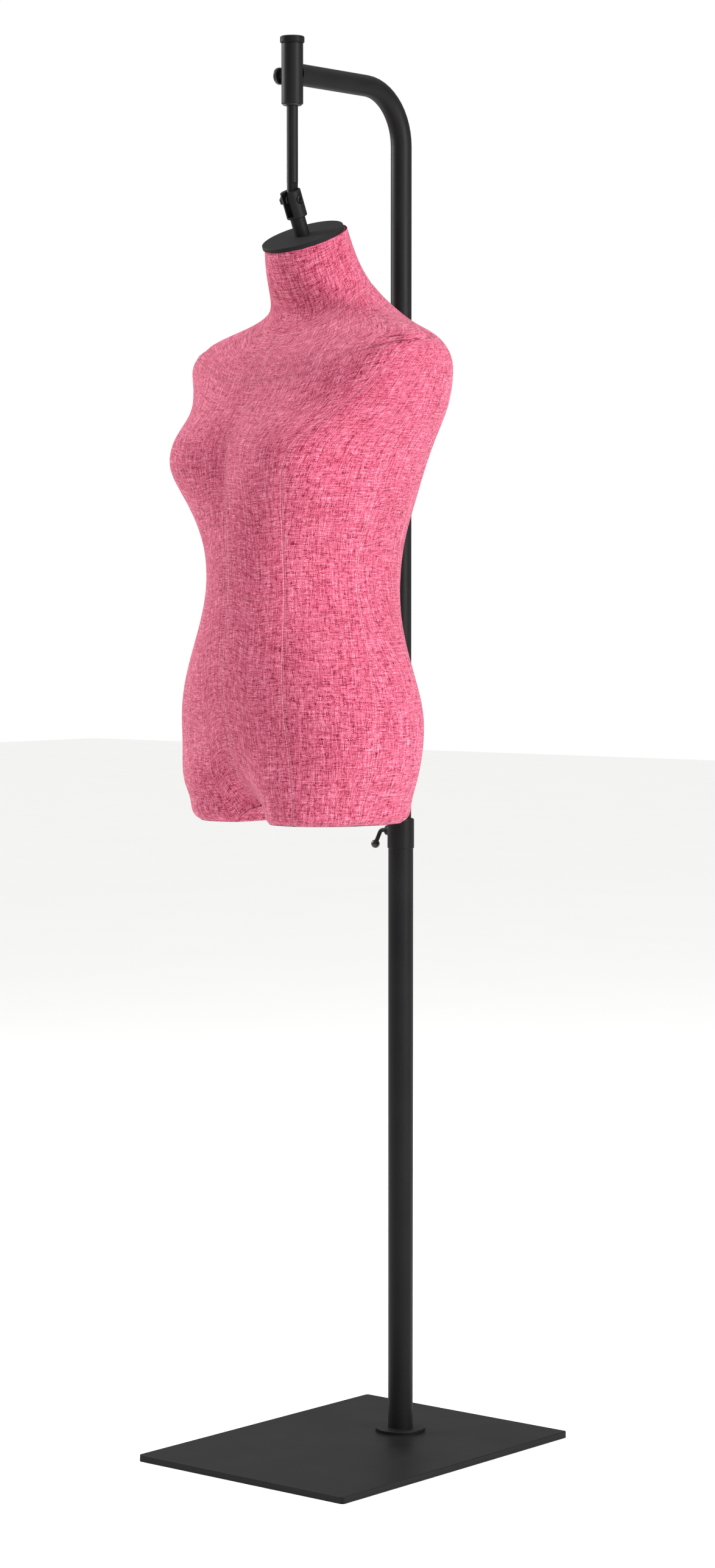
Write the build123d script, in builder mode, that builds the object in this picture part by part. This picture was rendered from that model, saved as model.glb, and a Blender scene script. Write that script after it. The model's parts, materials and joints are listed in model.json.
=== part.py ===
"""Dress form mannequin hung from an adjustable stand.

A heavy base plate carries a post.  A gooseneck mast slides in the post, and from the
end of its arm a rod hangs in a clamp tube.  The torso hangs from the rod by a fork hinge.

Millimetres.  +Z is up and the torso faces -Y.  The origin is the centre of the base
plate's underside, which stands on the floor.
"""

import os
from math import cos, exp, radians, sin

from build123d import *

os.makedirs("parts", exist_ok=True)

# --- Base and post -----------------------------------------------------------------
base_width = 315.0
base_depth = 420.0
base_thickness = 8.0
base_corner = 4.0
post_y = 84.0                # the post stands behind the plate's centre
flange_radius = 30.0
flange_thickness = 4.5
post_radius = 15.0
tube_wall = 1.5
post_top = 742.0
post_bolt_radius = 5.0
plug_length = 20.0

# --- Height collar and its lever -----------------------------------------------------
collar_radius = 16.0
collar_bottom = 714.5
collar_top = 750.5
bush_bottom = 690.0
lever_z = 735.0
lever_screw_radius = 3.0
lever_arm_radius = 2.5
lever_bend_x = -31.0
lever_ball_x = -39.5
lever_ball_z = 717.8
lever_ball_radius = 5.2

# --- Gooseneck mast and clamp tube ---------------------------------------------------
mast_radius = 12.5
mast_foot = 420.0
arm_z = 1614.5
arm_reach = 197.0
bend_radius = 65.0
hang_y = post_y - arm_reach
clamp_radius = 12.5
clamp_bore = 9.5
clamp_bottom = 1579.5
clamp_top = 1648.5
thumb_z = 1613.0
thumb_head_radius = 9.85
thumb_head_out = 21.5        # outer face of the head from the clamp tube's axis
thumb_head_thickness = 5.0

# --- Hanging rod and fork hinge --------------------------------------------------------
rod_radius = 6.5
rod_step_z = 1490.0          # below this the rod is cut to a flat tongue
tongue_half = 3.8
pivot_z = 1471.0
pivot_radius = 3.0
cap_radius = 14.0
cap_height = 7.5
washer_thickness = 0.5
neck_tilt = 24.0             # the neck leans forward by this angle
fork_radius = 12.0
fork_up = 10.5               # along the neck's axis, from the pivot
fork_down = 21.0
slot_half = 4.5
slot_down = 18.0
stub_radius = 8.75
neck_drop = 42.5             # pivot to the top of the neck cap
neck_cap_radius = 48.5
neck_cap_thickness = 5.0
spigot_radius = 5.0
block_radius = 33.0
block_thickness = 15.0
neck_nut_height = 8.0

# --- Torso -----------------------------------------------------------------------------
hem_z = 757.0
torso_turn = 8.0             # the torso is turned this much on its neck, clockwise from above
cover_thickness = 1.2
cover_gap = 0.3
shell_wall = 3.0
shell_top = 4.0
neck_gap = 0.3

fit = 0.05                   # radial clearance of a running fit
gap = 0.3                    # radial clearance of parts that pass freely

# Each station is a level cut through the torso: height above the hem, half width,
# depth to the front, depth to the back, how far its centre is behind the rod's axis,
# and squareness (2 is an ellipse).
stations = [
    (20, 139, 116, 97, 20, 2.3),
    (43, 148, 118, 101, 18, 2.3),
    (83, 157, 113, 108, 17, 2.3),
    (123, 153, 115, 117, 15, 2.3),
    (163, 143, 119, 114, 15, 2.2),
    (218, 117, 120, 107, 19, 2.2),
    (273, 101, 119, 108, 23, 2.2),
    (328, 112, 117, 114, 20, 2.2),
    (373, 129, 117, 120, 19, 2.3),
    (408, 135, 118, 125, 23, 2.4),
    (443, 146, 115, 129, 27, 2.5),
    (478, 161, 97, 129, 32, 2.6),
    (508, 174, 80, 128, 30, 2.6),
    (533, 183, 64, 125, 27, 2.4),
    (551, 178, 50, 121, 29, 2.0),
    (568, 139, 44, 113, 39, 1.8),
    (588, 88, 46, 94, 51, 1.8),
    (608, 66, 51, 74, 45, 2.0),
    (633, 56, 56, 57, 37, 2.0),
    (655, 51, 55, 50, 31, 2.0),
    (684, 49, 51, 46, 22, 2.0),
    (713, 48, 46, 42, 12, 2.0),
]
# The hem is rounded: height above the hem, and how far the outline is drawn in.
hem_rounding = [(0, 12), (3, 6.5), (8, 2.5), (14, 0.7)]

bust_height = 413.0
bust_fullness = 26.0
bust_angle = 38.0            # each side of the front, seen from above
bust_spread = 26.0
bust_above = 52.0
bust_below = 42.0
groin_depth = 60.0           # fold between the thighs at the front, deepest at the hem
groin_spread = 22.0
groin_height = 52.0
cleft_depth = 14.0
cleft_spread = 16.0
crotch_height = 19.0
crotch_half = 26.0
outline_points = 36

neck_up = (0, -sin(radians(neck_tilt)), cos(radians(neck_tilt)))
pivot_plane = Plane(origin=(0, hang_y, pivot_z), x_dir=(1, 0, 0), z_dir=neck_up)
turn_y = hang_y + neck_drop * sin(radians(neck_tilt))
turn = radians(torso_turn)
torso_plane = Plane(origin=(0, turn_y, 0), x_dir=(cos(turn), -sin(turn), 0), z_dir=(0, 0, 1))
across_left = Plane(origin=(0, 0, 0), x_dir=(0, -1, 0), z_dir=(-1, 0, 0))
pin_plane = Plane(origin=(0, hang_y, pivot_z), x_dir=(0, 1, 0), z_dir=(1, 0, 0))


def hill(distance, spread):
    """A smooth bump, 1 at its middle."""
    return exp(-((distance / spread) ** 2))


def outline_radius(angle, height, half_width, depth, squareness):
    """Distance from a station's centre to its outline; the angle is 0 at the front, 180 behind."""
    across = (abs(sin(radians(angle))) / half_width) ** squareness
    along = (abs(cos(radians(angle))) / depth) ** squareness
    radius = (across + along) ** (-1 / squareness)
    side_angle = min(angle, 360 - angle)
    bust_reach = bust_above if height > bust_height else bust_below
    radius += bust_fullness * hill(height - bust_height, bust_reach) * hill(side_angle - bust_angle, bust_spread)
    fold = hill(height, groin_height)
    radius -= groin_depth * fold * hill(side_angle, groin_spread)
    radius -= cleft_depth * fold * hill(180 - side_angle, cleft_spread)
    return radius


def station_points(station, inset):
    """Points round one station, in the torso's own plane."""
    height, half_width, front, back, centre, squareness = station
    points = []
    for number in range(outline_points):
        angle = 360 / outline_points * number
        depth = front if cos(radians(angle)) > 0 else back
        radius = outline_radius(angle, height, half_width - inset, depth - inset, squareness)
        y = hang_y - turn_y + centre - radius * cos(radians(angle))
        points.append((radius * sin(radians(angle)), y))
    return points


def torso_solid(inset):
    """The torso's shape drawn in by inset all over, cut off at the neck and open at the crotch."""
    lowest = stations[0]
    hem = [(rise, *(size - draw for size in lowest[1:4]), *lowest[4:]) for rise, draw in hem_rounding]
    with BuildPart() as body:
        for station in hem + stations:
            with BuildSketch(torso_plane.offset(hem_z + inset + station[0] * (1 - inset / stations[-1][0]))):
                with BuildLine():
                    Spline(*station_points(station, inset), periodic=True)
                make_face()
        loft()
        with BuildSketch(Plane(origin=torso_plane.origin, x_dir=torso_plane.x_dir, z_dir=-torso_plane.y_dir)):
            with BuildLine():
                half = crotch_half + inset
                top = hem_z + crotch_height + inset
                Spline((-half, hem_z - 1), (0, top), (half, hem_z - 1), tangents=((0.6, 1), (0.6, -1)))
                Line((half, hem_z - 1), (-half, hem_z - 1))
            make_face()
        extrude(amount=2 * base_width, both=True, mode=Mode.SUBTRACT)
    return body.part


# --- Base -------------------------------------------------------------------------------
with BuildPart() as base_plate:
    with BuildSketch():
        RectangleRounded(base_width, base_depth, base_corner)
    extrude(amount=base_thickness)
    fillet(base_plate.edges().group_by(Axis.Z)[-1], radius=1.0)
    fillet(base_plate.edges().group_by(Axis.Z)[0], radius=0.6)
    with Locations(Plane(origin=(0, post_y, 0), z_dir=(0, 0, -1))):
        CounterSinkHole(radius=post_bolt_radius + gap, counter_sink_radius=2 * post_bolt_radius + gap)

with BuildPart() as base_flange:
    with BuildSketch(Plane.XY.offset(base_thickness)):
        with Locations((0, post_y)):
            Circle(flange_radius)
            Circle(post_bolt_radius + gap, mode=Mode.SUBTRACT)
    extrude(amount=flange_thickness)
    fillet(base_flange.edges().group_by(Axis.Z)[-1].sort_by(SortBy.LENGTH)[-1], radius=1.2)

post_foot = base_thickness + flange_thickness
post_bore = post_radius - tube_wall
with BuildPart() as foot_plug:
    with BuildSketch(Plane.XY.offset(post_foot)):
        with Locations((0, post_y)):
            Circle(post_bore - fit)
            Circle(post_bolt_radius + fit, mode=Mode.SUBTRACT)
    extrude(amount=plug_length)
    chamfer(foot_plug.edges().group_by(Axis.Z)[-1], length=0.5)

with BuildPart() as base_bolt:
    with BuildSketch(Plane.YZ) as bolt_profile:
        with BuildLine():
            Polyline(
                (post_y, 0.4),
                (post_y + 2 * post_bolt_radius - 0.4, 0.4),
                (post_y + post_bolt_radius, post_bolt_radius),
                (post_y + post_bolt_radius, post_foot + plug_length - 1),
                (post_y, post_foot + plug_length - 1),
                close=True,
            )
        make_face()
    revolve(axis=Axis((0, post_y, 0), (0, 0, 1)))
    with BuildSketch(Plane.XY.offset(0.4)):
        with Locations((0, post_y)):
            RegularPolygon(radius=3.0, side_count=6, major_radius=False)
    extrude(amount=3.0, mode=Mode.SUBTRACT)

# --- Post and height collar ---------------------------------------------------------------
with BuildPart() as post_tube:
    with BuildSketch(Plane.XY.offset(post_foot)):
        with Locations((0, post_y)):
            Circle(post_radius)
            Circle(post_bore, mode=Mode.SUBTRACT)
    extrude(amount=post_top - post_foot)
    with BuildSketch(across_left):
        with Locations((-post_y, lever_z)):
            Circle(lever_screw_radius + fit)
    extrude(amount=post_radius, mode=Mode.SUBTRACT)

with BuildPart() as height_collar:
    with BuildSketch(Plane.XY.offset(collar_bottom)):
        with Locations((0, post_y)):
            Circle(collar_radius)
    extrude(amount=collar_top - collar_bottom)
    fillet(height_collar.edges().group_by(Axis.Z)[-1], radius=2.5)
    chamfer(height_collar.edges().group_by(Axis.Z)[0], length=0.5)
    with Locations((0, post_y, collar_bottom)):
        Cylinder(
            post_radius + fit,
            post_top - collar_bottom + fit,
            align=(Align.CENTER, Align.CENTER, Align.MIN),
            mode=Mode.SUBTRACT,
        )
    with Locations((0, post_y, collar_top)):
        Cylinder(mast_radius + gap, 4 * collar_radius, mode=Mode.SUBTRACT)
    with BuildSketch(across_left):
        with Locations((-post_y, lever_z)):
            Circle(6 + gap)
    extrude(amount=collar_radius + 1, mode=Mode.SUBTRACT)

with BuildPart() as collar_bush:
    with BuildSketch(Plane.XY.offset(bush_bottom)):
        with Locations((0, post_y)):
            Circle(post_bore - fit)
            Circle(mast_radius + fit, mode=Mode.SUBTRACT)
    extrude(amount=post_top - bush_bottom)
    with BuildSketch(across_left):
        with Locations((-post_y, lever_z)):
            Circle(lever_screw_radius + gap)
    extrude(amount=post_radius, mode=Mode.SUBTRACT)

with BuildPart() as lock_boss:
    with BuildSketch(across_left):
        with Locations((-post_y, lever_z)):
            Circle(6)
            Circle(lever_screw_radius + fit, mode=Mode.SUBTRACT)
    extrude(amount=post_radius + 7)
    chamfer(lock_boss.edges().group_by(Axis.X)[0].sort_by(SortBy.LENGTH)[-1], length=0.6)
    with Locations((0, post_y, lever_z)):
        Cylinder(post_radius, 30, mode=Mode.SUBTRACT)

with BuildPart() as lever_screw:
    with BuildLine() as lever_path:
        FilletPolyline(
            (-mast_radius - gap, post_y, lever_z),
            (lever_bend_x, post_y, lever_z),
            (lever_ball_x, post_y, lever_ball_z),
            radius=6,
        )
    with BuildSketch(Plane(lever_path.line @ 0, z_dir=lever_path.line % 0)):
        Circle(lever_arm_radius)
    sweep()
    with BuildSketch(across_left.offset(mast_radius + gap)):
        with Locations((-post_y, lever_z)):
            Circle(lever_screw_radius)
    extrude(amount=11)

with BuildPart() as lever_ball:
    with Locations((lever_ball_x, post_y, lever_ball_z)):
        Sphere(lever_ball_radius)
    with BuildSketch(Plane(lever_path.line @ 1, z_dir=-(lever_path.line % 1)).offset(-gap)):
        Circle(lever_arm_radius + fit)
    extrude(amount=2 * lever_ball_radius, mode=Mode.SUBTRACT)

# --- Mast -----------------------------------------------------------------------------------
mast_bore = mast_radius - tube_wall
with BuildPart() as mast_tube:
    with BuildLine(Plane.YZ):
        FilletPolyline(
            (post_y, mast_foot),
            (post_y, arm_z),
            (hang_y + clamp_radius / 2, arm_z),
            radius=bend_radius,
        )
    with BuildSketch(Plane.XY.offset(mast_foot)):
        with Locations((0, post_y)):
            Circle(mast_radius)
            Circle(mast_bore, mode=Mode.SUBTRACT)
    sweep()
    with Locations((0, hang_y, arm_z)):
        Cylinder(clamp_radius, 4 * mast_radius, mode=Mode.SUBTRACT)

with BuildPart() as mast_glide:
    with BuildSketch(Plane.XY.offset(mast_foot - 12)):
        with Locations((0, post_y)):
            Circle(post_bore - fit)
    extrude(amount=12)
    chamfer(mast_glide.edges().group_by(Axis.Z)[0], length=1.0)
    with BuildSketch(Plane.XY.offset(mast_foot)):
        with Locations((0, post_y)):
            Circle(mast_bore - fit)
    extrude(amount=18)
    chamfer(mast_glide.edges().group_by(Axis.Z)[-1], length=1.0)

with BuildPart() as clamp_tube:
    with BuildSketch(Plane.XY.offset(clamp_bottom)):
        with Locations((0, hang_y)):
            Circle(clamp_radius)
            Circle(clamp_bore, mode=Mode.SUBTRACT)
    extrude(amount=clamp_top - clamp_bottom)
    chamfer(clamp_tube.edges().filter_by(GeomType.CIRCLE).filter_by(lambda e: e.radius > clamp_bore), length=0.5)
    with BuildSketch(across_left):
        with Locations((-hang_y, thumb_z)):
            Circle(3 + fit)
    extrude(amount=clamp_radius + 1, mode=Mode.SUBTRACT)

with BuildPart() as lower_bush:
    with BuildSketch(Plane.XY.offset(clamp_bottom)):
        with Locations((0, hang_y)):
            Circle(clamp_bore - fit)
    extrude(amount=18)
    with BuildSketch(Plane.XY.offset(clamp_bottom)):
        with Locations((0, hang_y)):
            Circle(clamp_bore + 1)
    extrude(amount=-1.5)
    with Locations((0, hang_y, clamp_bottom)):
        Cylinder(rod_radius + fit, 60, mode=Mode.SUBTRACT)

with BuildPart() as upper_bush:
    with BuildSketch(Plane.XY.offset(clamp_top - 18)):
        with Locations((0, hang_y)):
            Circle(clamp_bore - fit)
            Circle(rod_radius + fit, mode=Mode.SUBTRACT)
    extrude(amount=18)

with BuildPart() as thumb_boss:
    with BuildSketch(across_left):
        with Locations((-hang_y, thumb_z)):
            Circle(5.5)
            Circle(3 + fit, mode=Mode.SUBTRACT)
    extrude(amount=clamp_radius + 2.5)
    with Locations((0, hang_y, thumb_z)):
        Cylinder(clamp_radius, 30, mode=Mode.SUBTRACT)

with BuildPart() as thumb_screw:
    with BuildSketch(across_left.offset(thumb_head_out - thumb_head_thickness)):
        with Locations((-hang_y, thumb_z)):
            Circle(thumb_head_radius)
    extrude(amount=thumb_head_thickness)
    fillet(thumb_screw.edges(), radius=1.6)
    with BuildSketch(across_left.offset(rod_radius + gap)):
        with Locations((-hang_y, thumb_z)):
            Circle(3)
    extrude(amount=thumb_head_out - rod_radius - gap - 1)

# --- Hanging rod ------------------------------------------------------------------------------
rod_top = clamp_top + washer_thickness
with BuildPart() as cap_washer:
    with BuildSketch(Plane.XY.offset(clamp_top)):
        with Locations((0, hang_y)):
            Circle(clamp_radius - 1.5)
            Circle(rod_radius + fit, mode=Mode.SUBTRACT)
    extrude(amount=washer_thickness)

with BuildPart() as rod_cap:
    with BuildSketch(Plane.XY.offset(rod_top)):
        with Locations((0, hang_y)):
            Circle(cap_radius)
    extrude(amount=cap_height)
    chamfer(rod_cap.edges(), length=0.9)
    with BuildSketch(Plane.XY.offset(rod_top)):
        with Locations((0, hang_y)):
            with PolarLocations(cap_radius, 48):
                Circle(0.45)
    extrude(amount=cap_height, mode=Mode.SUBTRACT)
    with BuildSketch(Plane.XY.offset(rod_top)):
        with Locations((0, hang_y)):
            Circle(4 + fit)
    extrude(amount=5, mode=Mode.SUBTRACT)

with BuildPart() as hanger_rod:
    with BuildSketch(Plane.XY.offset(pivot_z)):
        with Locations((0, hang_y)):
            Circle(rod_radius)
            Rectangle(2 * tongue_half, 2 * rod_radius, mode=Mode.INTERSECT)
    extrude(amount=rod_step_z - pivot_z)
    with BuildSketch(Plane.XY.offset(rod_step_z)):
        with Locations((0, hang_y)):
            Circle(rod_radius)
    extrude(amount=rod_top - rod_step_z)
    with BuildSketch(Plane.XY.offset(rod_top)):
        with Locations((0, hang_y)):
            Circle(4)
    extrude(amount=4.5)
    with BuildSketch(pin_plane):
        Circle(rod_radius)
    extrude(amount=tongue_half, both=True)
    with BuildSketch(pin_plane):
        Circle(pivot_radius + fit)
    extrude(amount=2 * rod_radius, both=True, mode=Mode.SUBTRACT)

# --- Fork hinge and neck ------------------------------------------------------------------------
head_seat = 9.5              # the screw head sits in a flat pocket this far from the rod's axis
nut_seat = 10.0
cap_under = -neck_drop - neck_cap_thickness
block_top = cap_under - shell_top
block_under = block_top - block_thickness
with BuildPart() as hinge_fork:
    with BuildSketch(pivot_plane.offset(-fork_down)):
        Circle(fork_radius)
    extrude(amount=fork_down + fork_up)
    fillet(hinge_fork.edges().filter_by(GeomType.CIRCLE), radius=1.0)
    with BuildSketch(pivot_plane.offset(-slot_down)):
        Rectangle(2 * slot_half, 3 * fork_radius)
    extrude(amount=slot_down + fork_up, mode=Mode.SUBTRACT)
    with BuildSketch(pin_plane):
        Circle(pivot_radius + fit)
    extrude(amount=2 * fork_radius, both=True, mode=Mode.SUBTRACT)
    with BuildSketch(pin_plane.offset(head_seat)):
        Circle(5.5)
    extrude(amount=fork_radius, mode=Mode.SUBTRACT)
    with BuildSketch(pin_plane.offset(-nut_seat)):
        Circle(6.5)
    extrude(amount=-fork_radius, mode=Mode.SUBTRACT)
    with BuildSketch(pivot_plane.offset(-neck_drop)):
        Circle(stub_radius)
    extrude(amount=neck_drop - fork_down)
    with BuildSketch(pivot_plane.offset(-neck_drop)):
        Circle(spigot_radius)
    extrude(amount=block_under + neck_drop - neck_nut_height - 4)

with BuildPart() as pivot_screw:
    with BuildSketch(pin_plane.offset(head_seat)):
        Circle(5.0)
    extrude(amount=2.8)
    fillet(pivot_screw.edges().group_by(Axis.X)[-1], radius=1.4)
    with BuildSketch(pin_plane.offset(head_seat + 1.2)):
        Rectangle(1.1, 5.2)
        Rectangle(5.2, 1.1)
    extrude(amount=3, mode=Mode.SUBTRACT)
    with BuildSketch(pin_plane.offset(-nut_seat - 5.5)):
        Circle(pivot_radius)
    extrude(amount=head_seat + nut_seat + 5.5)

with BuildPart() as pivot_nut:
    with BuildSketch(pin_plane.offset(-nut_seat)):
        RegularPolygon(radius=5, side_count=6, major_radius=False)
        Circle(pivot_radius + fit, mode=Mode.SUBTRACT)
    extrude(amount=-5)

with BuildPart() as hinge_washers:
    for side in (-1, 1):
        with BuildSketch(pin_plane.offset(side * (tongue_half + fit))):
            Circle(6)
            Circle(pivot_radius + fit, mode=Mode.SUBTRACT)
        extrude(amount=side * (slot_half - tongue_half - 2 * fit))

with BuildPart() as neck_cap:
    with BuildSketch(pivot_plane.offset(cap_under)):
        Circle(neck_cap_radius)
    extrude(amount=neck_cap_thickness)
    fillet(neck_cap.edges(), radius=0.9)
    with BuildSketch(pivot_plane.offset(cap_under)):
        Circle(spigot_radius + gap)
    extrude(amount=neck_cap_thickness, mode=Mode.SUBTRACT)

with BuildPart() as neck_block:
    with BuildSketch(pivot_plane.offset(block_under)):
        Circle(block_radius)
        Circle(spigot_radius + gap, mode=Mode.SUBTRACT)
    extrude(amount=block_thickness)

with BuildPart() as neck_washer:
    with BuildSketch(pivot_plane.offset(block_under - 2)):
        Circle(15)
        Circle(spigot_radius + gap, mode=Mode.SUBTRACT)
    extrude(amount=2)

with BuildPart() as neck_nut:
    with BuildSketch(pivot_plane.offset(block_under - 2 - neck_nut_height)):
        RegularPolygon(radius=8, side_count=6, major_radius=False)
        Circle(spigot_radius + fit, mode=Mode.SUBTRACT)
    extrude(amount=neck_nut_height)

# --- Torso ------------------------------------------------------------------------------------------
with BuildPart() as shell_room:
    add(torso_solid(cover_thickness + cover_gap + shell_wall))
    split(bisect_by=pivot_plane.offset(block_top), keep=Keep.BOTTOM)

with BuildPart() as torso_shell:
    add(torso_solid(cover_thickness + cover_gap))
    split(bisect_by=pivot_plane.offset(cap_under), keep=Keep.BOTTOM)
    add(shell_room.part, mode=Mode.SUBTRACT)
    with BuildSketch(pivot_plane.offset(block_top - 1)):
        Circle(spigot_radius + gap)
    extrude(amount=shell_top + 2, mode=Mode.SUBTRACT)

with BuildPart() as fabric_cover:
    add(torso_solid(0))
    split(bisect_by=pivot_plane.offset(cap_under - neck_gap), keep=Keep.BOTTOM)
    add(torso_solid(cover_thickness), mode=Mode.SUBTRACT)

pieces = {
    "base_plate": base_plate,
    "base_flange": base_flange,
    "foot_plug": foot_plug,
    "base_bolt": base_bolt,
    "post_tube": post_tube,
    "height_collar": height_collar,
    "collar_bush": collar_bush,
    "lock_boss": lock_boss,
    "lever_screw": lever_screw,
    "lever_ball": lever_ball,
    "mast_tube": mast_tube,
    "mast_glide": mast_glide,
    "clamp_tube": clamp_tube,
    "lower_bush": lower_bush,
    "upper_bush": upper_bush,
    "thumb_boss": thumb_boss,
    "thumb_screw": thumb_screw,
    "cap_washer": cap_washer,
    "rod_cap": rod_cap,
    "hanger_rod": hanger_rod,
    "hinge_fork": hinge_fork,
    "pivot_screw": pivot_screw,
    "pivot_nut": pivot_nut,
    "hinge_washers": hinge_washers,
    "neck_cap": neck_cap,
    "neck_block": neck_block,
    "neck_washer": neck_washer,
    "neck_nut": neck_nut,
    "torso_shell": torso_shell,
    "fabric_cover": fabric_cover,
}
for node, piece in pieces.items():
    piece.part.label = node
    export_step(piece.part, f"parts/{node}.step")
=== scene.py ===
import json
import math

import bpy
import numpy as np
from mathutils.bvhtree import BVHTree
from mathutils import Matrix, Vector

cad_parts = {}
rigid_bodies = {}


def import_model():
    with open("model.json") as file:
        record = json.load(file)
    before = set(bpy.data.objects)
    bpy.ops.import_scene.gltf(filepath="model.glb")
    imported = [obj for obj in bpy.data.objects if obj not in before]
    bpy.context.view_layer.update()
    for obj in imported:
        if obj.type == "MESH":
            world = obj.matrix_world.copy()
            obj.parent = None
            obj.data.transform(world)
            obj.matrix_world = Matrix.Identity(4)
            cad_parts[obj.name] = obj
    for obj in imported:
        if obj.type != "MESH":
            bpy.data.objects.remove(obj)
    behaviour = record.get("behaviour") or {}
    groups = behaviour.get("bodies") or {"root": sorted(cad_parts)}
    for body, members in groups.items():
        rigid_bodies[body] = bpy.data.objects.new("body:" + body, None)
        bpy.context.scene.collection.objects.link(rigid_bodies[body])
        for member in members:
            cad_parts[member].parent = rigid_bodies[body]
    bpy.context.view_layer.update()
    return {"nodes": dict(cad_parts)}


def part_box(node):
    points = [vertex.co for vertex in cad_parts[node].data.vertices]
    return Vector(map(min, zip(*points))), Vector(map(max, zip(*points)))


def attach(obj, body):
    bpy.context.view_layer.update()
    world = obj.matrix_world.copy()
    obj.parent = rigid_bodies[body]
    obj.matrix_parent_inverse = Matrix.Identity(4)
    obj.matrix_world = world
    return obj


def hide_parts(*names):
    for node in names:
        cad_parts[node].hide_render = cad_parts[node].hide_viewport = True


for leftover in list(bpy.data.objects):
    bpy.data.objects.remove(leftover)

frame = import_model()

MM = 0.001


# ---------------------------------------------------------------- finishes


def tint(red, green, blue):
    """A display colour, 0 to 255, as the linear colour that a shader takes."""
    parts = [c / 255 for c in (red, green, blue)]
    return (*[c / 12.92 if c <= 0.04045 else ((c + 0.055) / 1.055) ** 2.4 for c in parts], 1.0)


class Finish:
    """A material, with short names for the nodes that a finish is made of."""

    def __init__(self, name, **uniform):
        self.material = bpy.data.materials.new(name)
        self.material.use_nodes = True
        self.tree = self.material.node_tree
        self.tree.nodes.clear()
        self.surface = self.tree.nodes.new("ShaderNodeBsdfPrincipled")
        output = self.tree.nodes.new("ShaderNodeOutputMaterial")
        self.tree.links.new(self.surface.outputs[0], output.inputs["Surface"])
        for key, value in uniform.items():
            self.surface.inputs[key.replace("_", " ")].default_value = value

    def put(self, socket, value):
        if isinstance(value, bpy.types.NodeSocket):
            self.tree.links.new(value, socket)
        else:
            socket.default_value = value

    def node(self, kind, inputs, outlet=0, **settings):
        made = self.tree.nodes.new("ShaderNode" + kind)
        for key, value in settings.items():
            setattr(made, key, value)
        for key, value in inputs.items():
            self.put(made.inputs[key], value)
        return made.outputs[outlet]

    def calc(self, operation, a, b=0.0):
        return self.node("Math", {0: a, 1: b}, operation=operation)

    def ease(self, value, low, high):
        """0 below low, 1 above high, and a smooth step between."""
        sockets = {"Value": value, "From Min": low, "From Max": high}
        return self.node("MapRange", sockets, interpolation_type="SMOOTHSTEP")

    def remap(self, value, low, high, to_low, to_high):
        sockets = {"Value": value, "From Min": low, "From Max": high, "To Min": to_low, "To Max": to_high}
        return self.node("MapRange", sockets)

    def noise(self, vector, scale=1.0, detail=2.0, roughness=0.5):
        sockets = {"Vector": vector, "Scale": scale, "Detail": detail, "Roughness": roughness}
        return self.node("TexNoise", sockets)

    def xyz(self, x, y, z=0.0):
        return self.node("CombineXYZ", {"X": x, "Y": y, "Z": z})

    def stretch(self, vector, x, y, z):
        return self.node("VectorMath", {0: vector, 1: (x, y, z)}, operation="MULTIPLY")

    def place(self):
        """Where a point is on the piece at rest, in metres."""
        return self.node("TexCoord", {}, outlet="Object")

    def mix(self, factor, a, b, blend="MIX"):
        made = self.tree.nodes.new("ShaderNodeMix")
        made.data_type = "RGBA"
        made.blend_type = blend
        for index, value in ((0, factor), (6, a), (7, b)):
            self.put(made.inputs[index], value)
        return made.outputs[2]

    def ramp(self, factor, *stops):
        made = self.tree.nodes.new("ShaderNodeValToRGB")
        self.put(made.inputs[0], factor)
        band = made.color_ramp.elements
        while len(band) < len(stops):
            band.new(0.5)
        for element, (position, value) in zip(band, stops):
            element.position = position
            element.color = value
        return made.outputs[0]

    def relief(self, height, depth, strength=1.0):
        """Raises the surface where height is high; depth is in metres."""
        normal = self.node("Bump", {"Strength": strength, "Distance": depth, "Height": height})
        self.put(self.surface.inputs["Normal"], normal)

    def paint(self, **linked):
        for key, value in linked.items():
            self.put(self.surface.inputs[key.replace("_", " ")], value)


def powder_coat(name, dark, light, rough_low, rough_high, specular):
    """Baked powder: an orange peel of shallow cells, cloudy gloss and a little settled dust."""
    made = Finish(name, Specular_IOR_Level=specular)
    where = made.place()
    cloud = made.noise(where, 14.0, 3.0)
    peel = made.noise(where, 620.0, 2.0, 0.55)
    grit = made.noise(where, 2600.0, 1.0)
    speck = made.ease(made.noise(where, 1500.0, 1.0), 0.74, 0.8)
    base = made.mix(made.ease(cloud, 0.3, 0.7), dark, light)
    base = made.mix(made.calc("MULTIPLY", speck, 0.35), base, tint(96, 94, 92))
    gloss = made.calc("ADD", cloud, made.calc("MULTIPLY", peel, 0.3))
    made.paint(Base_Color=base, Roughness=made.remap(gloss, 0.4, 0.9, rough_low, rough_high))
    made.relief(made.calc("ADD", peel, made.calc("MULTIPLY", grit, 0.35)), 0.00012, 0.5)
    return made.material


def bare_metal(name, dark, light, rough_low, rough_high):
    """Plated or blackened steel: clouded plating over fine tool marks."""
    made = Finish(name, Metallic=1.0)
    where = made.place()
    cloud = made.noise(where, 240.0, 3.0)
    marks = made.noise(made.stretch(where, 900.0, 900.0, 9000.0), 1.0, 2.0)
    made.paint(
        Base_Color=made.mix(made.ease(cloud, 0.3, 0.7), dark, light),
        Roughness=made.remap(cloud, 0.3, 0.7, rough_low, rough_high),
    )
    made.relief(marks, 0.00003, 0.5)
    return made.material


def moulded(name, dark, light, rough_low, rough_high, specular):
    """Moulded plastic: a fine spark-eroded texture with slightly uneven gloss."""
    made = Finish(name, Specular_IOR_Level=specular)
    where = made.place()
    cloud = made.noise(where, 90.0, 3.0)
    grain = made.noise(where, 2400.0, 2.0)
    made.paint(
        Base_Color=made.mix(cloud, dark, light),
        Roughness=made.remap(cloud, 0.3, 0.7, rough_low, rough_high),
    )
    made.relief(grain, 0.00005, 0.5)
    return made.material


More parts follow.
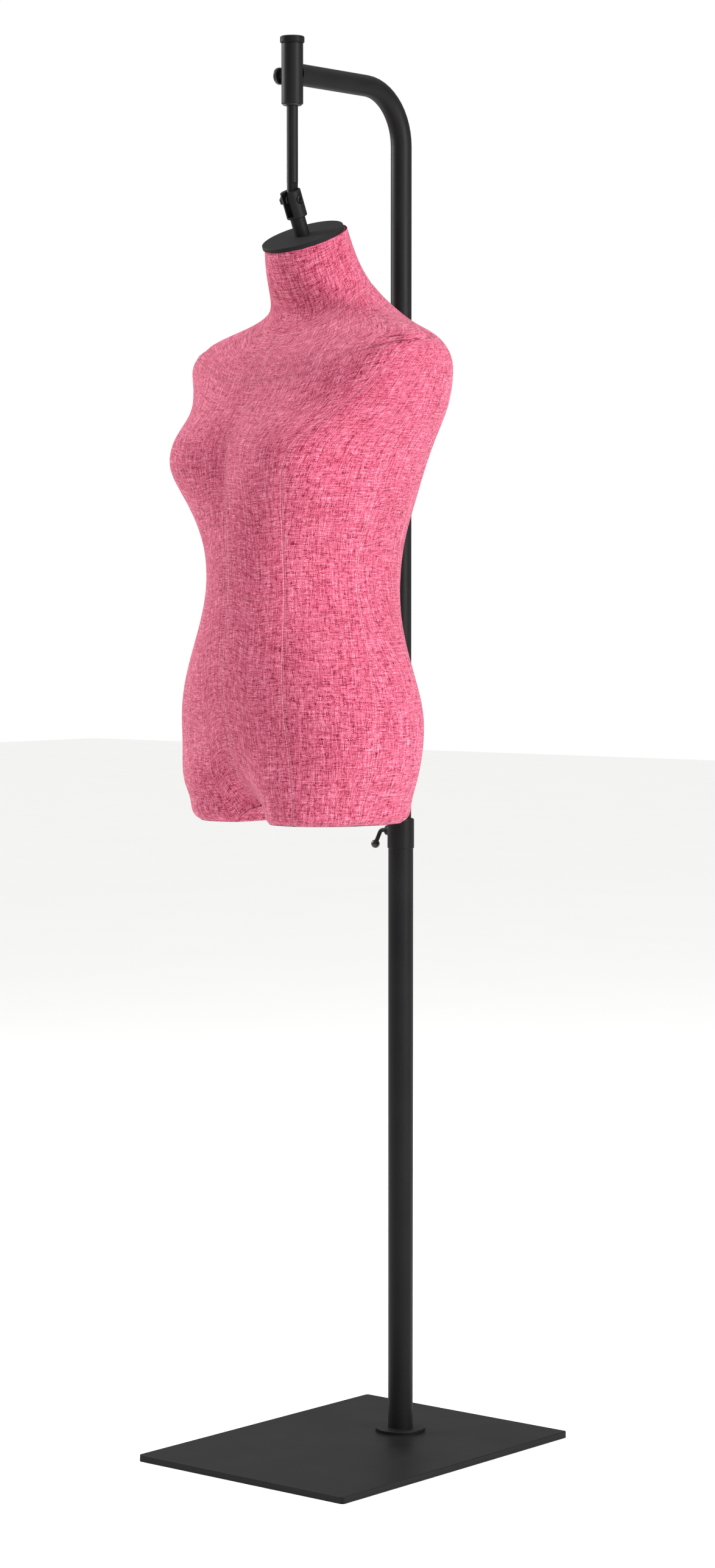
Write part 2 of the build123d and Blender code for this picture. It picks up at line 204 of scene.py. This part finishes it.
def layered_wood(name):
    """The edge of plywood: veneers with their grain turned by quarter turns."""
    made = Finish(name, Specular_IOR_Level=0.3)
    where = made.place()
    height = made.node("SeparateXYZ", {0: where}, outlet="Z")
    veneer = made.ease(made.calc("SINE", made.calc("MULTIPLY", height, 2 * math.pi / 0.003)), -0.3, 0.3)
    along = made.noise(made.stretch(where, 60.0, 900.0, 900.0), 1.0, 4.0)
    ends = made.noise(where, 1300.0, 3.0)
    figure = made.mix(veneer, along, ends)
    base = made.ramp(figure, (0.3, tint(150, 112, 72)), (0.7, tint(214, 180, 134)))
    made.paint(Base_Color=base, Roughness=made.remap(along, 0.3, 0.7, 0.62, 0.8))
    made.relief(figure, 0.0001, 0.6)
    return made.material


YARN = 1.0                # width of one yarn, and the other lengths here, in millimetres
YARN_SWAY = 1.6
# The spacing of the dashes of painted highlight along a seam.
STITCH_GLINT_PITCH = 3.2


def linen(name):
    """A slubby plain weave of mixed pink yarns, with painted shade in the gaps between the yarns and in the
    seam creases, and a painted highlight in dashes on the cloth beside each seam. The cloth map is in
    millimetres along the two yarns.
    """
    made = Finish(name, Specular_IOR_Level=0.18, Sheen_Weight=0.22, Sheen_Roughness=0.42)
    made.surface.inputs["Sheen Tint"].default_value = tint(255, 205, 218)
    cloth = made.node("UVMap", {}, uv_map="cloth")
    split = made.tree.nodes.new("ShaderNodeSeparateXYZ")
    made.put(split.inputs[0], cloth)
    across, along = split.outputs["X"], split.outputs["Y"]

    def sway(first, second):
        """Yarns wander a little from their line."""
        where = made.xyz(made.calc("MULTIPLY", second, 0.022), made.calc("MULTIPLY", first, 0.11))
        return made.calc("ADD", first, made.remap(made.noise(where), 0.0, 1.0, -YARN_SWAY, YARN_SWAY))

    warp = made.calc("DIVIDE", sway(across, along), YARN)
    weft = made.calc("DIVIDE", sway(along, across), YARN)

    def tone(yarn, length, seed):
        """How pale each yarn is: its own run of darker and lighter fibre, from 0 to 1."""
        number = made.calc("MULTIPLY", made.calc("FLOOR", yarn), 1.71)
        spun = made.noise(made.xyz(number, made.calc("MULTIPLY", length, 0.11), seed), 1.0, 3.0, 0.6)
        dark = made.calc("MULTIPLY", made.ease(spun, 0.5, 0.36), 0.4)
        return made.calc("SUBTRACT", made.remap(spun, 0.3, 0.7, 0.25, 0.95), dark)

    def slub(yarn, length, seed):
        """Thick pale lengths in a few of the yarns."""
        number = made.calc("MULTIPLY", made.calc("FLOOR", yarn), 2.37)
        spun = made.noise(made.xyz(number, made.calc("MULTIPLY", length, 0.024), seed), 1.0, 1.0)
        return made.ease(spun, 0.7, 0.78)

    def turns(yarn):
        """Half a wave for each yarn, up for one and down for the next."""
        return made.calc("SINE", made.calc("MULTIPLY", yarn, math.pi))

    def rounded(yarn):
        return made.calc("ABSOLUTE", turns(yarn))

    over = made.ease(made.calc("MULTIPLY", turns(warp), turns(weft)), -0.3, 0.3)
    warp_slub, weft_slub = slub(warp, along, 5.0), slub(weft, across, 9.0)
    warp_tone, weft_tone = tone(warp, along, 2.0), tone(weft, across, 3.0)

    def choose(a, b):
        """a where the warp lies over the weft, otherwise b."""
        both = made.calc("SUBTRACT", a, b)
        return made.calc("ADD", b, made.calc("MULTIPLY", both, over))

    top_tone = choose(warp_tone, weft_tone)
    raised = choose(rounded(warp), rounded(weft))
    thick = choose(warp_slub, weft_slub)

    def streak(across_scale, along_scale, seed):
        """Runs of shade along one yarn, a few millimetres wide."""
        x, y = made.calc("MULTIPLY", across, across_scale), made.calc("MULTIPLY", along, along_scale)
        return made.noise(made.xyz(x, y, seed), 1.0, 3.0)

    streaks = made.calc("ADD", streak(0.5, 0.012, 4.0), streak(0.02, 0.62, 8.0))
    patchy = made.noise(made.place(), 7.0, 2.0)

    blend = made.calc("ADD", made.calc("MULTIPLY", top_tone, 0.95), made.calc("MULTIPLY", streaks, 0.7))
    blend = made.calc("ADD", blend, made.calc("MULTIPLY", patchy, 0.12))
    blend = made.calc("SUBTRACT", blend, 0.8)
    base = made.ramp(
        blend,
        (0.0, tint(118, 22, 48)),
        (0.3, tint(176, 62, 92)),
        (0.6, tint(204, 96, 124)),
        (1.0, tint(240, 160, 182)),
    )
    base = made.mix(made.calc("MULTIPLY", thick, 0.55), base, tint(246, 178, 196))
    # Painted shade: the colour is darkened where the yarns dip, in the gaps between them.
    gaps = made.remap(raised, 0.0, 1.0, 0.62, 1.0)
    base = made.mix(1.0, base, made.xyz(gaps, gaps, gaps), "MULTIPLY")

    seam = made.node("Attribute", {}, outlet="Fac", attribute_name="seam_distance")
    run = made.node("Attribute", {}, outlet="Fac", attribute_name="seam_run")
    # crease marks the seam's groove, where painted shade darkens the cloth.
    crease = made.calc("SUBTRACT", 1.0, made.ease(seam, 0.05, 0.6))
    # beyond and edge mark the band beside the seam that gets a painted highlight.
    beyond = made.calc("SUBTRACT", 1.0, made.ease(seam, 1.1, 1.8))
    edge = made.calc("MULTIPLY", made.ease(seam, 0.4, 0.8), beyond)
    # pale is the painted highlight on that band, broken into dashes along the seam as if the stitches
    # caught the light.
    stitch_glint = made.ease(made.calc("SINE", made.calc("MULTIPLY", run, 2 * math.pi / STITCH_GLINT_PITCH)), -0.5, 0.3)
    pale = made.calc("MULTIPLY", edge, made.remap(stitch_glint, 0.0, 1.0, 0.08, 0.34))
    base = made.mix(pale, base, tint(248, 182, 198))
    # Painted shade: the cloth in the seam crease is darkened towards a deep rose.
    base = made.mix(made.calc("MULTIPLY", crease, 0.5), base, tint(128, 34, 58))

    fuzz = made.noise(made.xyz(across, along, 1.0), 1.9, 2.0)
    height = made.calc("ADD", made.calc("MULTIPLY", raised, 0.55), made.calc("MULTIPLY", thick, 0.5))
    height = made.calc("ADD", height, made.calc("MULTIPLY", top_tone, 0.3))
    height = made.calc("ADD", height, made.calc("MULTIPLY", fuzz, 0.35))
    made.paint(Base_Color=base, Roughness=made.remap(fuzz, 0.2, 0.8, 0.78, 0.95))
    made.relief(height, 0.00035, 0.75)
    return made.material


coat_dark, coat_light = tint(14, 14, 15), tint(20, 20, 21)
finishes = {
    "black_powder_coat": powder_coat("black_powder_coat", coat_dark, coat_light, 0.42, 0.54, 0.14),
    "cap_paint": powder_coat("cap_paint", tint(22, 22, 23), tint(30, 30, 31), 0.6, 0.74, 0.12),
    "black_screw": bare_metal("black_screw", tint(30, 30, 32), tint(52, 51, 51), 0.34, 0.5),
    "zinc_steel": bare_metal("zinc_steel", tint(168, 170, 172), tint(206, 207, 206), 0.26, 0.42),
    "nylon": moulded("nylon", tint(214, 208, 192), tint(232, 228, 216), 0.42, 0.56, 0.4),
    "black_nylon": moulded("black_nylon", tint(20, 20, 21), tint(32, 32, 32), 0.45, 0.6, 0.35),
    "knob_plastic": moulded("knob_plastic", tint(18, 18, 19), tint(28, 28, 29), 0.26, 0.4, 0.45),
    "plywood": layered_wood("plywood"),
    # The shell's dark rose is painted shade: where the shell shows through gaps in the cover, it stands in
    # for the shadow of a crease.
    "shell_plastic": moulded("shell_plastic", tint(104, 34, 56), tint(124, 44, 68), 0.6, 0.8, 0.2),
    "pink_linen": linen("pink_linen"),
}
for piece in frame["nodes"].values():
    mesh = piece.data
    for index, old in enumerate(mesh.materials):
        mesh.materials[index] = finishes[old.name.split(".")[0]]


# ---------------------------------------------------------------- the cover, sewn from panels

TURN = math.radians(8)
LEFT = np.array([math.cos(TURN), -math.sin(TURN), 0.0])
BACK = np.array([math.sin(TURN), math.cos(TURN), 0.0])
UP = np.array([0.0, 0.0, 1.0])
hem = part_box("fabric_cover")[0].z
cap_low, cap_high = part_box("neck_cap")
AXIS = np.array([(cap_low.x + cap_high.x) / 2, (cap_low.y + cap_high.y) / 2, hem])
NECK_LEAN = math.radians(24)
NECK_UP = np.array([0.0, -math.sin(NECK_LEAN), math.cos(NECK_LEAN)])

# Angles go round the torso from the centre front, in degrees. Heights are above the hem, in millimetres.
ANGLE_STEP = 1.25
HEIGHT_STEP = 1.25
angles = np.arange(-180.0, 180.0, ANGLE_STEP)
heights = np.arange(0.6, 700.0, HEIGHT_STEP)


def table(*rows):
    """A function that reads between the rows of a table."""
    at, value = np.array(rows, float).T
    return lambda x: np.interp(x, at, value)


# The line that angles are taken about lies this far behind the middle of the neck cap.
core = table((393, 3), (543, 33), (588, 43), (663, 10))
princess = table(
    (0, 42.6), (41, 42.4), (82, 41), (121, 38.9), (173, 37.9), (236, 37.4), (314, 36.5),
    (357, 37.1), (401, 38.8), (425, 40.8), (434, 43), (444, 46.8), (462, 55.2), (482, 63.4),
    (496, 67.6), (514, 71.8), (531, 76.2), (539, 80), (547, 86), (551, 96),
)
back_seam = table(
    (0, 138), (90, 139), (170, 139), (240, 135), (290, 128), (330, 122.5), (363, 119.3),
    (400, 119.2), (444, 121), (474, 121), (508, 114.5), (533, 109.5), (543, 105), (547, 96),
)
side_seam = table(
    (0, 74.6), (40, 76.5), (82, 78), (121, 79.2), (164, 80.5), (199, 82.4), (236, 84),
    (265, 84.6), (310, 83.6), (331, 83.6), (369, 85.7), (404, 89.2), (444, 91.3), (473, 91.7),
    (551, 91.5),
)
neck_seam = table(
    (-180, 629), (-150, 626), (-117, 618), (-94, 610), (-75, 602), (-55, 583), (-37, 566),
    (-25, 560), (0, 557), (25, 560), (37, 566), (55, 583), (75, 602), (94, 610),
    (117, 618), (150, 626), (180, 629),
)
shoulder_cap = table((86, 547), (96, 551))


def outward(angle):
    turn = np.radians(angle)
    return np.multiply.outer(np.sin(turn), LEFT) - np.multiply.outer(np.cos(turn), BACK)


def soften(values, sigma, axis, mode):
    """A Gaussian blur along one axis."""
    reach = int(3 * sigma + 1)
    weights = np.exp(-0.5 * (np.arange(-reach, reach + 1) / sigma) ** 2)
    room = [(0, 0)] * values.ndim
    room[axis] = (reach, reach)
    wide = np.pad(values, room, **mode)
    size = values.shape[axis]
    parts = [w * wide.take(range(k, k + size), axis) for k, w in enumerate(weights / weights.sum())]
    return sum(parts)


ROUND = {"mode": "wrap"}
OPEN = {"mode": "reflect", "reflect_type": "odd"}
EDGED = {"mode": "edge"}
PROUD = 0.0006
cover_mesh = frame["nodes"]["fabric_cover"].data
cover_tree = BVHTree.FromPolygons(
    [v.co for v in cover_mesh.vertices], [tuple(p.vertices) for p in cover_mesh.polygons]
)


def measure():
    """How far the cover's outer skin is from the core line all round, and how high it starts."""
    reach = 0.45
    thinnest = 0.015
    rays = [outward(a) for a in angles]
    radii = np.full((len(angles), len(heights)), np.nan)
    for row, height in enumerate(heights):
        centre = AXIS + BACK * core(height) * MM + UP * height * MM
        for column, ray in enumerate(rays):
            hit = cover_tree.ray_cast(centre + ray * reach, -ray, reach)
            if hit[0] is not None and reach - hit[3] > thinnest:
                radii[column, row] = (reach - hit[3]) / MM
    starts = np.zeros(len(angles))
    rows = np.arange(len(heights))
    for column, line in enumerate(radii):
        good = np.flatnonzero(~np.isnan(line))
        filled = np.interp(rows, good, line[good])
        last = good[-1] - 2
        slope = (filled[last] - filled[last - 6]) / 6
        filled[last:] = filled[last] + slope * (rows[last:] - last)
        radii[column] = np.clip(filled, 20, 400)
        starts[column] = heights[good[0]] - heights[0]
    radii = soften(soften(radii, 1.2, 0, ROUND), 2.0, 1, OPEN)
    return radii, soften(starts, 1.0, 0, ROUND)


radii, starts = measure()


def skin(angle, height):
    """Points on the cover, in metres."""
    column = ((angle + 180) / ANGLE_STEP) % len(angles)
    row = np.clip((height - heights[0]) / HEIGHT_STEP, 0, len(heights) - 1.001)
    i, j = column.astype(int), row.astype(int)
    s, t = column - i, row - j
    k = (i + 1) % len(angles)
    radius = (radii[i, j] * (1 - s) + radii[k, j] * s) * (1 - t)
    radius = radius + (radii[i, j + 1] * (1 - s) + radii[k, j + 1] * s) * t
    centre = AXIS + np.multiply.outer(core(height) * MM, BACK) + np.multiply.outer(height * MM, UP)
    return centre + outward(angle) * (radius * MM)[..., None]


def round_table(values):
    at = np.append(angles, 180.0)
    return lambda x: np.interp(x, at, np.append(values, values[0]))


def rim():
    """The height at each angle where the cover meets the leaning underside of the neck cap."""
    ceiling = max(NECK_UP @ np.array(v.co) for v in cover_mesh.vertices) + 0.0002
    climb = np.arange(560.0, 699.0, 0.5)
    grid = np.meshgrid(angles, climb, indexing="ij")
    level = skin(*grid) @ NECK_UP
    return np.array([np.interp(ceiling, line, climb) for line in level])


low_edge = round_table(starts)
neck_edge = round_table(rim())

SEWN_STEPS = np.array([0.0, 0.5, 1.0, 1.6, 2.4, 3.4, 4.8, 6.6])
MESH_STEP = 2.6
SEAMLESS = 60.0           # the seam distance given to cloth that is far from any seam
PANEL_SPREAD = (640.0, 90.0)


def ticks(length, count, first, last):
    """Distances along an edge, crowded towards the ends that are sewn."""
    near = SEWN_STEPS * min(1.0, length / 45.0)
    start = near if first else near[:1]
    stop = length - (near if last else near[:1])[::-1]
    return np.concatenate([start, np.linspace(start[-1], stop[0], count + 2)[1:-1], stop])


def lengths(points, axis):
    steps = np.linalg.norm(np.diff(points, axis=axis), axis=-1) / MM
    zero = np.zeros_like(steps.take([0], axis))
    return np.concatenate([zero, np.cumsum(steps, axis=axis)], axis=axis)


def locate(across, up, edges):
    """Angle and height of the points at these shares of the way across and up a panel."""
    left, right, low, high = edges
    height = 40.0 + 500.0 * up
    for _ in range(60):
        angle = left(height) + (right(height) - left(height)) * across
        height = height + 0.4 * (low(angle) + (high(angle) - low(angle)) * up - height)
    return angle, height


def cut(edges, sewn, side):
    """A panel's grid of points: even steps, with finer rows along its sewn edges."""
    sew_left, sew_right, sew_low, sew_high = sewn
    fine = np.linspace(0, 1, 301)
    angle, height = locate(np.full_like(fine, 0.5), fine, edges)
    climb = lengths(skin(side * angle, height), 0)
    rows = np.interp(ticks(climb[-1], int(climb[-1] / MESH_STEP), sew_low, sew_high), climb, fine)
    coarse = np.linspace(0, 1, 81)
    up, across = np.meshgrid(rows, coarse, indexing="ij")
    angle, height = locate(across, up, edges)
    spans = lengths(skin(side * angle, height), 1)
    count = int(spans[:, -1].max() / MESH_STEP)
    shares = np.array([np.interp(ticks(s[-1], count, sew_left, sew_right), s, coarse) for s in spans])
    up = np.repeat(rows[:, None], shares.shape[1], axis=1)
    angle, height = locate(shares, up, edges)
    return side * angle, height, shares


def seat(points, normals):
    """Moves points along their normals onto the cover's outer skin, smoothly, and a little proud of it."""
    reach, limit = 0.012, 0.008
    away = np.zeros(points.shape[:2])
    for index in np.ndindex(*away.shape):
        point, normal = points[index], normals[index]
        hit = cover_tree.ray_cast(point + normal * reach, -normal, 2 * reach)
        away[index] = np.nan if hit[0] is None else reach - hit[3]
    missed = np.isnan(away)
    away[missed] = 0.0
    away = np.clip(away, -limit, limit)
    weight = soften(soften((~missed).astype(float), 0.8, 0, EDGED), 0.8, 1, EDGED)
    away = soften(soften(away, 0.8, 0, EDGED), 0.8, 1, EDGED) / np.maximum(weight, 0.05)
    return points + normals * (away + PROUD)[..., None]


def grid_normals(points, centre):
    along_rows = np.gradient(points, axis=1)
    along_columns = np.gradient(points, axis=0)
    normals = np.cross(along_rows, along_columns)
    size = np.linalg.norm(normals, axis=-1, keepdims=True)
    out = points - centre
    out /= np.linalg.norm(out, axis=-1, keepdims=True)
    normals = np.where(size > 1e-12, normals / np.maximum(size, 1e-12), out)
    facing = np.sign((normals * out).sum(-1, keepdims=True))
    return normals * np.where(facing == 0, 1, facing)


def build(name, points, cloth, seam, run, outward_sign):
    """A mesh object from a grid of points, with its cloth map and seam distances."""
    rows, columns = points.shape[:2]
    index = np.arange(rows * columns).reshape(rows, columns)
    a, b, c, d = index[:-1, :-1], index[:-1, 1:], index[1:, 1:], index[1:, :-1]
    corners = (a, b, c, d) if outward_sign > 0 else (a, d, c, b)
    faces = np.stack([k.ravel() for k in corners], axis=1)
    mesh = bpy.data.meshes.new(name)
    mesh.from_pydata(points.reshape(-1, 3).tolist(), [], faces.tolist())
    mesh.polygons.foreach_set("use_smooth", np.ones(len(faces), bool))
    layer = mesh.uv_layers.new(name="cloth")
    layer.data.foreach_set("uv", cloth.reshape(-1, 2)[faces.ravel()].astype(np.float32).ravel())
    for key, values in (("seam_distance", seam), ("seam_run", run)):
        attribute = mesh.attributes.new(key, "FLOAT", "POINT")
        attribute.data.foreach_set("value", values.astype(np.float32).ravel())
    mesh.materials.append(finishes["pink_linen"])
    mesh.validate()
    mesh.update()
    made = bpy.data.objects.new(name, mesh)
    bpy.context.scene.collection.objects.link(made)
    return made


def declare(made):
    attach(made, "torso")
    return made


def sew(name, edges, sewn, side=1, hold=0.5, fan=0.5, number=0):
    """Cuts a panel, sinks its sewn edges into a crease and lays the cloth map on it.

    hold is where across the panel the warp runs straight, and fan is how far the warp follows both edges.
    """
    angle, height, shares = cut(edges, [bool(s) for s in sewn], side)
    points = skin(angle, height)
    across, up = lengths(points, 1), lengths(points, 0)
    width, rise = across[:, -1:], up[-1:, :]
    gaps = [across, width - across, up, rise - up]
    runs = [up, up, across, across]
    seam = np.full(angle.shape, SEAMLESS)
    run = np.zeros(angle.shape)
    for gap, along, strength in zip(gaps, runs, sewn):
        if strength:
            away = gap + (40.0 * (1 - strength(height)) if callable(strength) else 0.0)
            run = np.where(away < seam, along, run)
            seam = np.minimum(seam, away)
    centre = AXIS + np.multiply.outer(core(height) * MM, BACK) + np.multiply.outer(height * MM, UP)
    points = seat(points, grid_normals(points, centre))
    normals = grid_normals(points, centre)
    sink = 0.45 * np.exp(-((seam / 1.0) ** 2)) + 0.25 * np.exp(-((seam / 4.5) ** 2))
    pucker = np.sin(run * 2 * math.pi / 8.7 + np.sin(run * 0.11) * 3)
    sink = sink + 0.07 * pucker * np.exp(-((seam / 6.0) ** 2)) * (seam > 0)
    points = points - normals * (sink * MM)[..., None]
    middle = hold * width
    spread = (1 - fan) * (across - middle) + fan * (shares - hold) * width.mean()
    level = np.repeat(up.mean(axis=1, keepdims=True), up.shape[1], axis=1)
    shift_across, shift_up = (number * gap for gap in PANEL_SPREAD)
    cloth = np.stack([side * spread + shift_across, level + shift_up], axis=-1)
    made = build(name, points, cloth, seam, run, side)
    return declare(made)


def fixed(value):
    return lambda x: np.full_like(np.asarray(x, float), value)


def armhole_fade(height):
    """The side seam runs up to the armpit and ends there."""
    return np.clip((476 - height) / 8, 0, 1)


for side, word in ((1, "left"), (-1, "right")):
    shift = 1 if side > 0 else 6

    def floor_line(angle, side=side):
        return low_edge(side * angle)

    parts = [
        ("front", (fixed(0), princess, floor_line, neck_seam), (1, 1, 0, 1), 0.0, 0.65),
        ("side_front", (princess, side_seam, floor_line, shoulder_cap), (1, armhole_fade, 0, 1), 0.5, 0.3),
        ("side_back", (side_seam, back_seam, floor_line, shoulder_cap), (armhole_fade, 1, 0, 1), 0.5, 0.3),
        ("back", (back_seam, fixed(180), floor_line, neck_seam), (1, 1, 0, 1), 1.0, 0.5),
    ]
    for number, (part, edges, sewn, hold, fan) in enumerate(parts):
        sew(f"cover_{part}_{word}", edges, sewn, side, hold, fan, shift + number)
sew("cover_neck", (fixed(-180), fixed(180), neck_seam, neck_edge), (1, 1, 1, 0), 1, 0.5, 0.5, 12)


def underside():
    """The panel that closes the torso from below, arched between the thighs."""
    around = np.append(angles, 180.0)
    edge = skin(around, low_edge(around))
    centre = AXIS + BACK * core(0.0) * MM
    share = np.linspace(0, 1, 46)[:, None, None]
    points = edge[None] + (centre - edge)[None] * share
    for row in points[1:]:
        for point in row:
            hit = cover_tree.ray_cast((point[0], point[1], hem - 0.05), (0, 0, 1), 0.2)
            point[2] = hit[0].z if hit[0] is not None else hem
    points[1:-1, :, 2] = soften(points[:, :, 2], 1.0, 0, EDGED)[1:-1]
    points[..., 2] -= PROUD
    flat = (points - centre) / MM
    cloth = np.stack([flat @ LEFT, flat @ BACK], axis=-1)
    blank = np.full(points.shape[:2], SEAMLESS)
    made = build("cover_underside", points, cloth, blank, blank * 0, -1)
    return declare(made)


underside()
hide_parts("fabric_cover")


# ---------------------------------------------------------------- floor, light and camera

bpy.ops.mesh.primitive_plane_add(size=30.0, location=(0, 0, -0.0002))
floor = bpy.context.object
floor.name = "floor"
ground = Finish("floor_paper", Specular_IOR_Level=0.1, Roughness=0.9)
cloud = ground.noise(ground.place(), 3.0)
ground.paint(Base_Color=ground.mix(cloud, tint(249, 249, 248), tint(252, 252, 251)))
floor.data.materials.append(ground.material)

world = bpy.data.worlds.new("studio")
bpy.context.scene.world = world
world.use_nodes = True
sky = world.node_tree
seen = sky.nodes["Background"]
seen.inputs["Strength"].default_value = 1.0
glow = sky.nodes.new("ShaderNodeBackground")
glow.inputs["Strength"].default_value = 0.42
for background in (seen, glow):
    background.inputs["Color"].default_value = (1.0, 1.0, 1.0, 1.0)
path = sky.nodes.new("ShaderNodeLightPath")
either = sky.nodes.new("ShaderNodeMixShader")
sky.links.new(path.outputs["Is Camera Ray"], either.inputs[0])
sky.links.new(glow.outputs[0], either.inputs[1])
sky.links.new(seen.outputs[0], either.inputs[2])
sky.links.new(either.outputs[0], sky.nodes["World Output"].inputs["Surface"])


def light(name, kind, place, aim, power, **settings):
    data = bpy.data.lights.new(name, kind)
    data.energy = power
    for key, value in settings.items():
        setattr(data, key, value)
    made = bpy.data.objects.new(name, data)
    bpy.context.scene.collection.objects.link(made)
    made.location = place
    made.rotation_euler = (Vector(aim) - Vector(place)).to_track_quat("-Z", "Y").to_euler()


def softbox(name, place, width, height, power):
    light(name, "AREA", place, (0, -0.05, 1.0), power, shape="RECTANGLE", size=width, size_y=height)


light("ceiling", "SUN", (0.5, 0.2, 3.4), (0, 0, 0.8), 1.7, angle=math.radians(80))
softbox("right_softbox", (2.6, 0.1, 1.75), 1.1, 2.0, 84)
softbox("left_softbox", (-2.1, -0.7, 2.2), 0.9, 1.6, 66)
softbox("front_softbox", (2.3, -2.4, 1.7), 0.8, 2.0, 14)

camera_data = bpy.data.cameras.new("camera")
camera_data.lens = 82.69
camera_data.sensor_fit = "VERTICAL"
camera_data.sensor_height = 36.0
camera_data.clip_end = 100.0
camera = bpy.data.objects.new("camera", camera_data)
camera.location = (2.7321, -3.2551, 1.0197)
camera.rotation_euler = (math.radians(90 - 3.03), 0.0, math.radians(39.98))
bpy.context.scene.collection.objects.link(camera)
bpy.context.scene.camera = camera
bpy.context.scene.view_settings.view_transform = "Standard"
